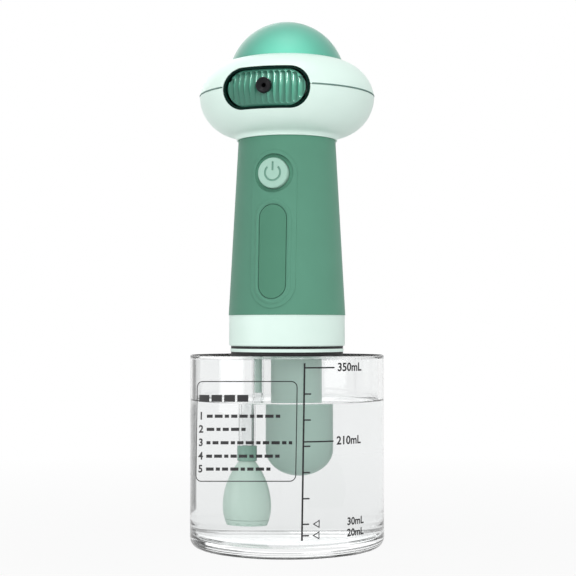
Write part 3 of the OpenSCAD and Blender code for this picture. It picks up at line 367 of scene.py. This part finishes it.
for face in jarMesh.faces:
    middle = face.calc_center_median() / mm
    if jar["floor"] - slack < middle.z < wet and middle.xy.length < jar["inner"] + slack:
        face.material_index = 1

# shallow thread on the neck, seen when the machine is lifted off
thread = {"in": 23.25, "out": 23.52, "low": 87.4, "half": 0.55, "crest": 0.3, "turns": 1.6, "pitch": 2.4,
          "steps": 160}
crest = thread["half"] * thread["crest"]
threadMesh = bmesh.new()
corners = [threadMesh.verts.new(Vector((r, 0, thread["low"] + z)) * mm) for r, z in
           ((thread["in"], -thread["half"]), (thread["out"], -crest),
            (thread["out"], crest), (thread["in"], thread["half"]))]
profile = threadMesh.faces.new(corners)
turned(threadMesh, [profile, *profile.edges, *corners], 360 * thread["turns"], thread["steps"],
       thread["pitch"] * thread["turns"] * mm)
bmesh.ops.recalc_face_normals(threadMesh, faces=threadMesh.faces)
makePiece("neckThread", threadMesh, finishes["clear_plastic"], "jar", sharp=50)
jarPiece = makePiece("clearJar", jarMesh, finishes["clear_plastic"], "jar",
                     ("jar", "jar_base", "jar_shoulder"))
jarPiece.data.materials.append(clearBody("clear styrene under water", "#f6f7f7", 1.5 / 1.333))

# water surface, with the small climb it makes at the wall
waterMesh = spun([(0, water["level"]), (jar["inner"] - water["reach"], water["level"]),
                  (jar["inner"] - water["reach"] * water["bend"],
                   water["level"] + water["climb"] * water["bendRise"]),
                  (jar["inner"], wet)], water["steps"])
faceForward(waterMesh)
waterPiece = makePiece("water", waterMesh, clearBody("water", "#fbfdfd", 1.333), "jar")
for piece in (jarPiece, waterPiece, nodes["dip_tube"]):
    piece.visible_shadow = False
    piece.visible_diffuse = False
print("stage: jar and water")


# print on the jar, laid out flat in mm (round the wall, up the wall) and then wrapped on it
printed = {"r": 41.98, "lean": 0.016, "middle": 44.0, "line": 0.75, "thin": 0.6, "bold": 0.13}
ink = mouldedPlastic("black screen ink", "#1d1d1f", "#151517", 0.5)  # thin even film: flat black, low shine


def printBar(bm, left, right, middle, tall):
    size = Matrix.Diagonal(((right - left) * mm, tall * mm, 1, 1))
    place = Matrix.Translation(((left + right) / 2 * mm, middle * mm, 0))
    bmesh.ops.create_grid(bm, x_segments=1, y_segments=1, size=0.5, matrix=place @ size)


def printText(bm, words, left, middle, size):
    curve = bpy.data.curves.new("numeral", "FONT")
    curve.body = words
    curve.size = size * mm
    curve.align_y = "CENTER"
    curve.offset = printed["bold"] * mm
    curve.resolution_u = 4
    holder = bpy.data.objects.new("numeral", curve)
    scene.collection.objects.link(holder)
    flat = finalMesh(holder)
    flat.transform(Matrix.Translation((left * mm, middle * mm, 0)))
    bm.from_mesh(flat)
    bpy.data.objects.remove(holder)


def printOutline(bm, face, line):
    bmesh.ops.inset_region(bm, faces=[face], thickness=line * mm, use_boundary=True, use_even_offset=True)
    bmesh.ops.delete(bm, geom=[face], context="FACES")


def arc(degrees):  # along the wall, from the part's front to an angle from the camera's side
    return math.radians(view["azimuth"] + degrees) * printed["r"]


def across(degrees):  # straight across the picture, to the same kind of angle
    return math.sin(math.radians(degrees)) * printed["r"]


def wrapRound(x, height):
    return x / printed["r"], height


def wrapLevel(x, height):  # rows that look level from the camera's height
    around = math.asin(x / printed["r"])
    depth = (view["distance"] - printed["r"] * math.cos(around)) / (view["distance"] - printed["r"])
    return around + turn, view["height"] - (view["height"] - height) * depth


def wrapPrint(name, bm, cuts, wrap):
    for face in bm.faces:
        if face.normal.z < 0:
            face.normal_flip()
    for cut in cuts:  # so that long bars can bend
        sliceAt(bm, (cut * mm, 0, 0), (1, 0, 0), near=1e-7)
    for vert in bm.verts:
        height = vert.co.y / mm
        around, height = wrap(vert.co.x / mm + printed["lean"] * (height - printed["middle"]), height)
        vert.co = Vector((printed["r"] * math.sin(around), -printed["r"] * math.cos(around), height)) * mm
    makePiece(name, bm, ink, "jar")


# volume scale with plain figures
scale = {"at": arc(9.0), "middle": 44.0, "tall": 71.6, "short": 2.9, "long": 13.0, "gap": 1.4, "size": 4.7,
         "ticks": (67.3, 56.8, 46.2, 35.6, 25.1, 14.8, 10.2), "longs": (77.9, 48.0),
         "longWords": ("350mL", "210mL"), "smallWords": ("30mL", "20mL"), "smallSize": 0.9,
         "smallAt": arc(36.5), "markerAt": arc(17.6), "marker": 2.0, "markerLine": 0.4, "wraps": 60}
scaleMesh = bmesh.new()
printBar(scaleMesh, scale["at"] - printed["line"] / 2, scale["at"] + printed["line"] / 2,
         scale["middle"], scale["tall"])
for height in scale["ticks"]:
    printBar(scaleMesh, scale["at"], scale["at"] + scale["short"], height, printed["thin"])
for height, words in zip(scale["longs"], scale["longWords"]):
    printBar(scaleMesh, scale["at"], scale["at"] + scale["long"], height, printed["thin"])
    printText(scaleMesh, words, scale["at"] + scale["long"] + scale["gap"], height, scale["size"])
upright = Matrix.Rotation(math.pi / 2, 4, "Z")
for height, words in zip(scale["ticks"][-2:], scale["smallWords"]):
    printText(scaleMesh, words, scale["smallAt"], height, scale["size"] * scale["smallSize"])
    place = Matrix.Translation((scale["markerAt"] * mm, height * mm, 0)) @ upright
    marker = bmesh.ops.create_circle(scaleMesh, cap_ends=True, segments=3, radius=scale["marker"] * mm,
                                     matrix=place)["verts"]
    printOutline(scaleMesh, marker[0].link_faces[0], scale["markerLine"])
wrapPrint("jarScale", scaleMesh, range(scale["wraps"] + 1), wrapRound)

# framed label with numbered rows of dashes, laid out as the eye sees it; starts and ends are in degrees
label = {"left": across(-66.2), "right": across(5.3), "middle": 52.3, "tall": 40.6, "corner": 2.6,
         "line": 0.4, "rows": (58.4, 53.1, 47.7, 42.3, 37.1), "ends": (-2.2, -22.9, 2.8, -3.9, -9.0),
         "start": -62.3, "numeral": 4.2, "indent": 3.6, "dash": (2.6, 3.4, 1.8), "dashTall": 1.3,
         "shortest": 1.0, "space": 0.9, "title": 65.6, "titleEnd": -29.0, "titleDash": 4.6, "titleTall": 2.8,
         "wraps": (-48, 9), "wrapStep": 1.5}
labelMesh = bmesh.new()
printBar(labelMesh, label["left"], label["right"], label["middle"], label["tall"])
bmesh.ops.bevel(labelMesh, geom=labelMesh.verts[:], offset=label["corner"] * mm, offset_type="OFFSET",
                affect="VERTICES", segments=6, profile=0.5, material=-1)
printOutline(labelMesh, max(labelMesh.faces, key=lambda face: face.calc_area()), label["line"])
along = across(label["start"])
while along < across(label["titleEnd"]):
    printBar(labelMesh, along, along + label["titleDash"], label["title"], label["titleTall"])
    along += label["titleDash"] + label["space"]
for row, (height, last) in enumerate(zip(label["rows"], label["ends"])):
    printText(labelMesh, str(row + 1), across(label["start"]), height, label["numeral"])
    along = across(label["start"]) + label["indent"]
    dashCount = row
    while along < across(last) - label["shortest"]:
        end = min(along + label["dash"][dashCount % len(label["dash"])], across(last))
        printBar(labelMesh, along, end, height, label["dashTall"])
        along = end + label["space"]
        dashCount += 1
labelCuts = [across(step * label["wrapStep"]) for step in range(*label["wraps"])]
wrapPrint("jarLabel", labelMesh, labelCuts, wrapLevel)
print("stage: print")


# grip bead: a low rounded rib round the inlay, wrapped on the handle's cone
bead = {"middle": 126.2, "half": 14.0, "radii": (6.35, 6.7, 7.3, 7.9, 8.3),
        "heights": (-0.1, 0.2, 0.32, 0.2, -0.1), "rise": 0.3, "coneR": 25.35, "coneZ": 99.6, "fall": 0.05541,
        "cuts": 12}
beadMesh = bmesh.new()
loops = []
for radius, height in zip(bead["radii"], bead["heights"]):
    ring = longOval(beadMesh, radius, bead["half"], axis=1, filled=False)
    for vert in ring:
        vert.co.z = height
    loops.append(list({edge for vert in ring for edge in vert.link_edges}))
for inner, outer in zip(loops, loops[1:]):
    bmesh.ops.bridge_loops(beadMesh, edges=inner + outer)
faceForward(beadMesh)
straights = [edge for edge in beadMesh.edges if edge.calc_length() > bead["half"]]
bmesh.ops.subdivide_edges(beadMesh, edges=straights, cuts=bead["cuts"], use_grid_fill=True)
for vert in beadMesh.verts:
    height = bead["middle"] + vert.co.y
    cone = bead["coneR"] - bead["fall"] * (height - bead["coneZ"]) + bead["rise"]
    around = vert.co.x / cone
    out = cone + vert.co.z
    vert.co = Vector((out * math.sin(around), -out * math.cos(around), height)) * mm
makePiece("gripBead", beadMesh, finishes["green_plastic"], "machine", sharp=60)
print("stage: grip")


# power button: the moulded cap with its symbol cut into the face
symbol = {"ring": 3.3, "line": 0.8, "gap": 44, "barLow": 1.0, "barHigh": 4.7, "deep": 0.4, "over": 1.0,
          "steps": 40, "z": 159.3, "r": 22.04, "out": 1.2, "tilt": 3.17}
cutMesh = bmesh.new()
half = symbol["line"] / 2
start = Matrix.Rotation(math.radians(90 + symbol["gap"]), 4, "Z")
corners = [cutMesh.verts.new(start @ Vector((symbol["ring"] + side, 0, height))) for side, height in
           ((-half, -symbol["deep"]), (half, -symbol["deep"]),
            (half, symbol["over"]), (-half, symbol["over"]))]
profile = cutMesh.faces.new(corners)
turned(cutMesh, [profile, *profile.edges, *corners], 360 - 2 * symbol["gap"], symbol["steps"])
barMiddle = Matrix.Translation((0, (symbol["barLow"] + symbol["barHigh"]) / 2,
                                (symbol["over"] - symbol["deep"]) / 2))
barSize = Matrix.Diagonal((symbol["line"], symbol["barHigh"] - symbol["barLow"],
                           symbol["over"] + symbol["deep"], 1))
bmesh.ops.create_cube(cutMesh, size=1, matrix=barMiddle @ barSize)
bmesh.ops.recalc_face_normals(cutMesh, faces=cutMesh.faces)
lean = math.radians(symbol["tilt"])
outward = Vector((0, -math.cos(lean), math.sin(lean)))
upward = Vector((0, math.sin(lean), math.cos(lean)))
place = Matrix((Vector((1, 0, 0)), upward, outward)).transposed().to_4x4()
place.translation = Vector((0, -symbol["r"], symbol["z"])) + outward * symbol["out"]
bmesh.ops.transform(cutMesh, matrix=Matrix.Scale(mm, 4) @ place, verts=cutMesh.verts)
# the cut's faces take the second slot, the painted shade of the sign
for face in cutMesh.faces:
    face.material_index = 1
capMesh = bmesh.new()
capMesh.from_mesh(nodes["power_button"].data)
bmesh.ops.remove_doubles(capMesh, verts=capMesh.verts, dist=2e-7)
capMesh = cutAway(capMesh, cutMesh)
cap = makePiece("engravedButton", capMesh, finishes["button_plastic"], "button",
                ("power_button",), sharp=30)
signShadePlastic = mouldedPlastic("green ABS, painted sign shade", "#7fae9c", "#78a795", 0.5)  # painted shade: darker than the cap, for the shade in the cut sign
cap.data.materials.append(signShadePlastic)
print("stage: button")

# painted shade: a thin dark ring laid in the gap between the head's two shells, standing for the shadow in
# that gap, open at the window
seam = {"r": 37.83, "z": 194.7, "tube": 0.3, "open": 31, "sides": 10, "steps": 120}
seamMesh = bmesh.new()
seamStart = (Matrix.Rotation(math.radians(seam["open"] - 90), 4, "Z")
             @ Matrix.Translation((seam["r"] * mm, 0, seam["z"] * mm)) @ Matrix.Rotation(math.pi / 2, 4, "X"))
bmesh.ops.create_circle(seamMesh, cap_ends=False, segments=seam["sides"], radius=seam["tube"] * mm,
                        matrix=seamStart)
turned(seamMesh, seamMesh.verts[:] + seamMesh.edges[:], 360 - 2 * seam["open"], seam["steps"])
bmesh.ops.recalc_face_normals(seamMesh, faces=seamMesh.faces)
seamShadePaint = mouldedPlastic("grey green painted seam shade", "#6f8f86", "#678780", 0.6)  # painted shade: dull and darker than the shells, for the shadow in their gap
makePiece("shellSeam", seamMesh, seamShadePaint, "machine")

# fluted insert behind the nozzle: upright scoops cut in a plate, which is then bent to the head's bulge
insert = {"z": 193.5, "half": 10.0, "tall": 7.6, "thick": 3.4, "inset": 1.5, "pitch": 2.6, "count": 13,
          "scoop": 1.28, "deep": 0.6, "slant": 0.065, "margin": 0.55, "least": 0.2, "hole": 2.2, "core": 20.5,
          "lowZ": 194.7, "lowR": 17.5, "upZ": 192.2, "upR": 17.67,
          "scoopTurns": 24, "scoopRings": 13, "cutsWide": 17, "cutsHigh": 7, "shift": 0.2}


def bulge(height):  # how far the head swells from its core, on one arc below the seam and another above
    if height < insert["lowZ"]:
        return math.sqrt(insert["lowR"] ** 2 - (insert["lowZ"] - height) ** 2)
    return math.sqrt(insert["upR"] ** 2 - (height - insert["upZ"]) ** 2)


plateMesh = bmesh.new()
longOval(plateMesh, insert["tall"], insert["half"], axis=0, filled=True)
faceForward(plateMesh)
grown = bmesh.ops.extrude_face_region(plateMesh, geom=plateMesh.faces[:])["geom"]
backVerts = [item for item in grown if isinstance(item, bmesh.types.BMVert)]
bmesh.ops.translate(plateMesh, vec=(0, 0, -insert["thick"]), verts=backVerts)
bmesh.ops.recalc_face_normals(plateMesh, faces=plateMesh.faces)
scoopMesh = bmesh.new()
for index in range(insert["count"]):
    side = (index - (insert["count"] - 1) / 2) * insert["pitch"]
    past = max(abs(side) - insert["half"], 0)
    endHeight = math.sqrt(insert["tall"] ** 2 - past ** 2) - insert["margin"] - insert["scoop"]
    endHeight = max(endHeight, insert["least"])
    scoop = bmesh.ops.create_uvsphere(scoopMesh, u_segments=insert["scoopTurns"],
                                      v_segments=insert["scoopRings"], radius=insert["scoop"],
                                      matrix=Matrix.Rotation(math.pi / 2, 4, "X"))["verts"]
    for vert in scoop:
        vert.co.y += math.copysign(endHeight, vert.co.y)
        vert.co.z = vert.co.z * insert["deep"] - vert.co.y * insert["slant"]
        vert.co.x += side
bmesh.ops.recalc_face_normals(scoopMesh, faces=scoopMesh.faces)
insertMesh = cutAway(plateMesh, scoopMesh)
for axis, most in ((Vector((1, 0, 0)), insert["cutsWide"]), (Vector((0, 1, 0)), insert["cutsHigh"])):
    for step in range(-most, most + 1):  # cuts 1 mm apart, shifted off the plate's own corners
        sliceAt(insertMesh, axis * (step + insert["shift"]), axis, near=1e-5)
behindNozzle = []
for face in insertMesh.faces:
    middle = face.calc_center_median()
    if max(abs(middle.x), abs(middle.y)) < insert["hole"]:
        behindNozzle.append(face)
bmesh.ops.delete(insertMesh, geom=behindNozzle, context="FACES")
for vert in insertMesh.verts:
    height = insert["z"] + vert.co.y
    around = vert.co.x / (insert["core"] + insert["upR"] - insert["inset"])
    out = insert["core"] + bulge(height) - insert["inset"] + vert.co.z
    vert.co = Vector((out * math.sin(around), -out * math.cos(around), height)) * mm
makePiece("flutedInsert", insertMesh, finishes["insert"], "machine", ("nozzle_panel",),
          sharp=35)
print("stage: head")


# floor and world, white to the eye; metres
sweep = {"half": 4.0, "drop": 0.0004, "near": 0.1, "far": 0.45, "nearShare": 0.86}
floorMesh = bmesh.new()
bmesh.ops.create_grid(floorMesh, x_segments=1, y_segments=1, size=sweep["half"],
                      matrix=Matrix.Translation((0, 0, -sweep["drop"])))
paper = whitePaper("white paper", sweep["near"], sweep["far"], sweep["nearShare"])
floor = meshObject("floor", floorMesh, paper)

studio = {"light": 0.5, "seen": 1.0}
world = bpy.data.worlds.new("studio")
scene.world = world
world.use_nodes = True
tree = world.node_tree
tree.nodes.clear()
level = addNode(tree, "ShaderNodeMapRange", {"To Min": studio["light"], "To Max": studio["seen"]},
                {"Value": seenItself(tree)})
sky = addNode(tree, "ShaderNodeBackground", {"Color": linear("#ffffff")}, {"Strength": level.outputs[0]})
addNode(tree, "ShaderNodeOutputWorld", None, {"Surface": sky.outputs[0]})

# lamps, in metres and in degrees from the camera's side, each turned to the height aim on the part's axis
lamps = {"key": {"side": 8, "up": 16, "far": 0.9, "size": (0.35, 0.7), "power": 3.2, "aim": 0.13},
         "fill": {"side": -68, "up": -2, "far": 1.0, "size": (0.6, 0.8), "power": 2.9, "aim": 0.13},
         "top": {"side": 4, "up": 74, "far": 0.7, "size": (0.3, 0.3), "power": 1.0, "aim": 0.13},
         "rim": {"side": -155, "up": 32, "far": 0.9, "size": (0.6, 0.6), "power": 1.2, "aim": 0.13},
         "glint": {"side": 50, "up": 48, "far": 0.5, "size": (0.05, 0.3), "power": 3.4, "aim": 0.13},
         "pool": {"side": -2, "up": 2, "far": 0.5, "cone": 5, "bulb": 0.01, "power": 13, "aim": 0.209}}
for name, lamp in lamps.items():
    if "cone" in lamp:
        data = bpy.data.lights.new(name, "SPOT")
        data.spot_size = math.radians(lamp["cone"])
        data.spot_blend = 1.0
        data.shadow_soft_size = lamp["bulb"]
    else:
        data = bpy.data.lights.new(name, "AREA")
        data.shape = "RECTANGLE"
        data.size, data.size_y = lamp["size"]
    data.energy = lamp["power"]
    side = turn + math.radians(lamp["side"])
    up = math.radians(lamp["up"])
    away = Vector((math.sin(side) * math.cos(up), -math.cos(side) * math.cos(up), math.sin(up)))
    holder = bpy.data.objects.new(name, data)
    holder.location = Vector((0, 0, lamp["aim"])) + away * lamp["far"]
    holder.rotation_euler = away.to_track_quat("Z", "Y").to_euler()
    holder.visible_glossy = holder.visible_transmission = name != "key"  # the key stays out of the jar
    scene.collection.objects.link(holder)
shaded = bpy.data.collections.new("shaded")  # left out by the fill, which is for the pale shells
for name in ("handle_shell", "grip_inlay", "gripBead", "flutedInsert", "dome", "pod"):
    shaded.objects.link(bpy.data.objects[name])
for item in shaded.collection_objects:
    item.light_linking.link_state = "EXCLUDE"
bpy.data.objects["fill"].light_linking.receiver_collection = shaded
for lampName, pieceName in (("glint", "flutedInsert"), ("pool", "dome")):  # small lamps for one piece each
    only = bpy.data.collections.new(lampName)
    only.objects.link(bpy.data.objects[pieceName])
    bpy.data.objects[lampName].light_linking.receiver_collection = only

# cards round the part, out of the picture, that give the clear jar its dark edges and bright floor;
# mm, x to the camera's right and y away from it, each upright on the line between its two ends
blackPaint = fadingCard("black card", "#262626")
greyPaint = fadingCard("grey card", "#757575")
palePaint = mirrorCard("pale card", 1.4)
cards = {"rightCard": {"ends": ((52, 33), (52, 112)), "low": -6, "high": 61, "paint": blackPaint},
         "leftCard": {"ends": ((-58, 45), (-120, 45)), "low": 51, "high": 83, "paint": greyPaint},
         "farRightCard": {"ends": ((170, 600), (520, 600)), "low": 150, "high": 270, "paint": blackPaint},
         "farLeftCard": {"ends": ((-520, 600), (-170, 600)), "low": 150, "high": 270, "paint": blackPaint},
         "paleCard": {"ends": ((-900, 600), (900, 600)), "low": 75, "high": 150, "paint": palePaint},
         "darkStrip": {"ends": ((-250, 250), (250, 250)), "low": 81, "high": 96, "paint": blackPaint}}
for name, card in cards.items():
    first, second = card["ends"]
    corners = ((*first, card["low"]), (*second, card["low"]), (*second, card["high"]), (*first, card["high"]))
    cardMesh = bmesh.new()
    face = cardMesh.faces.new([cardMesh.verts.new(Vector(corner) * mm) for corner in corners])
    spots = cardMesh.loops.layers.uv.new("spot")
    for loop, spot in zip(face.loops, ((0, 0), (1, 0), (1, 1), (0, 1))):
        loop[spots].uv = spot
    bmesh.ops.transform(cardMesh, matrix=Matrix.Rotation(turn, 4, "Z"), verts=cardMesh.verts)
    holder = meshObject(name, cardMesh, card["paint"])
    holder.visible_camera = holder.visible_diffuse = holder.visible_shadow = False
    holder.visible_glossy = name == "darkStrip"  # the strip shows in the jar's flat shoulder alone
    holder.visible_transmission = name != "darkStrip"

scene.view_settings.view_transform = "Standard"
print("stage: floor and light")
